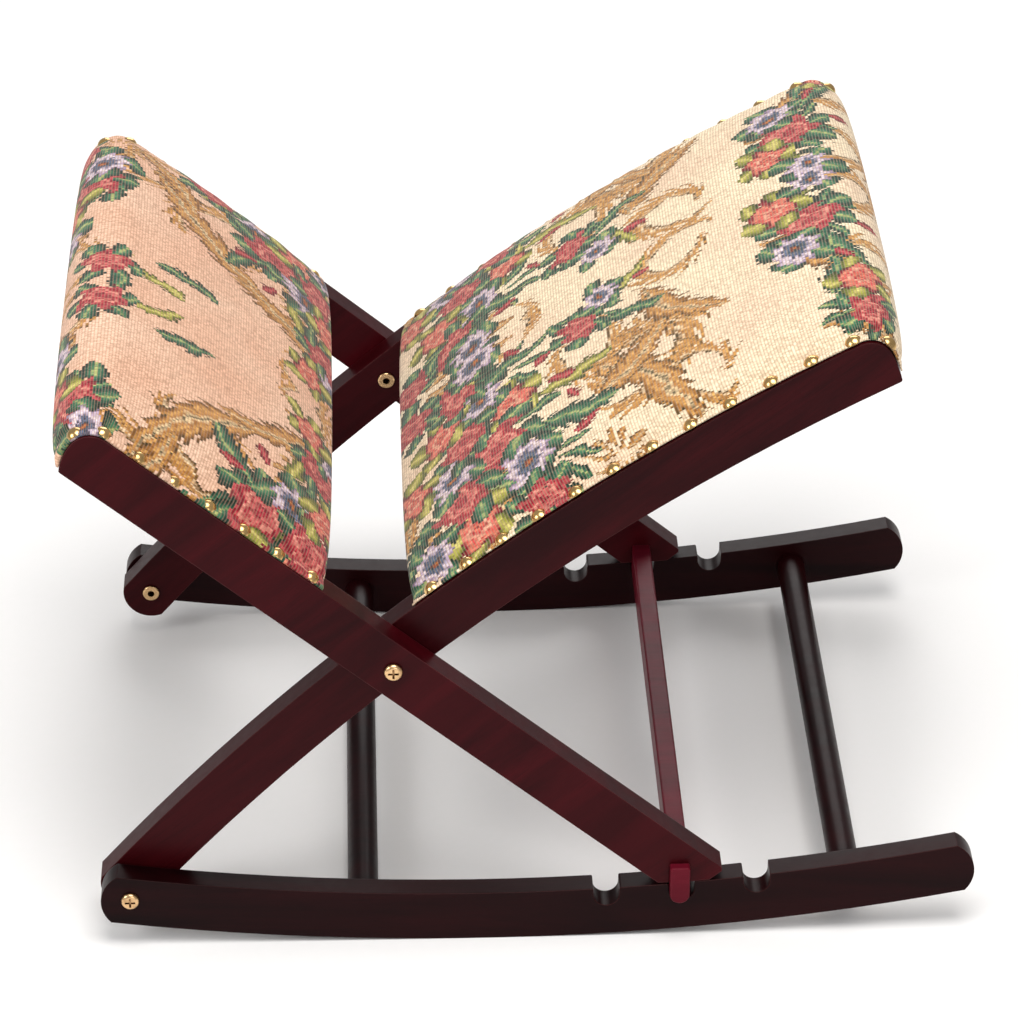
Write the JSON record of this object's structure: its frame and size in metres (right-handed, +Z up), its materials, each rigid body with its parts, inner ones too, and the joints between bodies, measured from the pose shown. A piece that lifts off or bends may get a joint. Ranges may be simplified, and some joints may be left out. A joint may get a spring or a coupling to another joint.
{
  "type": "rocking footstool",
  "caption": "Wooden footstool on curved rockers, with two crossed padded frames whose angle is set by a prop bar in notches.",
  "frame": {"origin": "on the floor, in the middle of the overall length and width", "axes": "+X along the rockers towards their free end, +Y to the back, +Z up"},
  "size_m": [0.4685, 0.35, 0.352],
  "materials": {
    "rocker_wood": "dark red-brown mahogany stain under satin lacquer",
    "leg_wood": "dark red-brown mahogany stain under satin lacquer",
    "bar_wood": "redder mahogany stain, satin lacquer",
    "rail_wood": "bare beech, planed",
    "plywood": "bare plywood",
    "brass_bolt": "polished, lightly tarnished in the recess",
    "brass_nail": "satin, antiqued",
    "washer_metal": "stamped, dull",
    "screw_steel": "plated",
    "foam": "open-cell foam",
    "short_cover_cloth": "ribbed floral tapestry weave on a peach ground",
    "long_cover_cloth": "ribbed floral tapestry weave on a cream ground",
    "lining_cloth": "thin black lining cloth"
  },
  "bodies": {
    "rocker_base": {"front_rocker": "rocker_wood", "back_rocker": "rocker_wood", "middle_stretcher": "rocker_wood", "end_stretcher": "rocker_wood", "rocker_bolts": "brass_bolt", "rocker_sleeve_nuts": "brass_bolt", "rocker_washers": "washer_metal"},
    "long_frame": {"front_long_leg": "leg_wood", "back_long_leg": "leg_wood", "long_upper_rail": "rail_wood", "long_rail_pins": "rail_wood", "long_seat_board": "plywood", "long_seat_screws": "screw_steel", "long_pad_foam": "foam", "long_pad_cover": "long_cover_cloth", "long_lining": "lining_cloth", "long_nails_front": "brass_nail", "long_nails_back": "brass_nail", "crossing_bolts": "brass_bolt", "crossing_sleeve_nuts": "brass_bolt", "crossing_washers": "washer_metal"},
    "short_frame": {"front_short_leg": "leg_wood", "back_short_leg": "leg_wood", "prop_bar": "bar_wood", "short_upper_rail": "rail_wood", "short_rail_pins": "rail_wood", "short_seat_board": "plywood", "short_seat_screws": "screw_steel", "short_pad_foam": "foam", "short_pad_cover": "short_cover_cloth", "short_lining": "lining_cloth", "short_nails_front": "brass_nail", "short_nails_back": "brass_nail"}
  },
  "joints": [
    {"name": "frame_lift", "type": "hinge", "parent": "rocker_base", "child": "long_frame", "pos_m": [-0.20548, 0, 0.0285], "axis": [0, -1, 0], "range_deg": [0, 60]},
    {"name": "frame_spread", "type": "hinge", "parent": "long_frame", "child": "short_frame", "pos_m": [-0.06698, 0, 0.16601], "axis": [0, -1, 0], "range_deg": [0, 24]}
  ],
  "couplings": [
    {"joint": "frame_spread", "follows": "frame_lift", "ratio": 0.4}
  ]
}
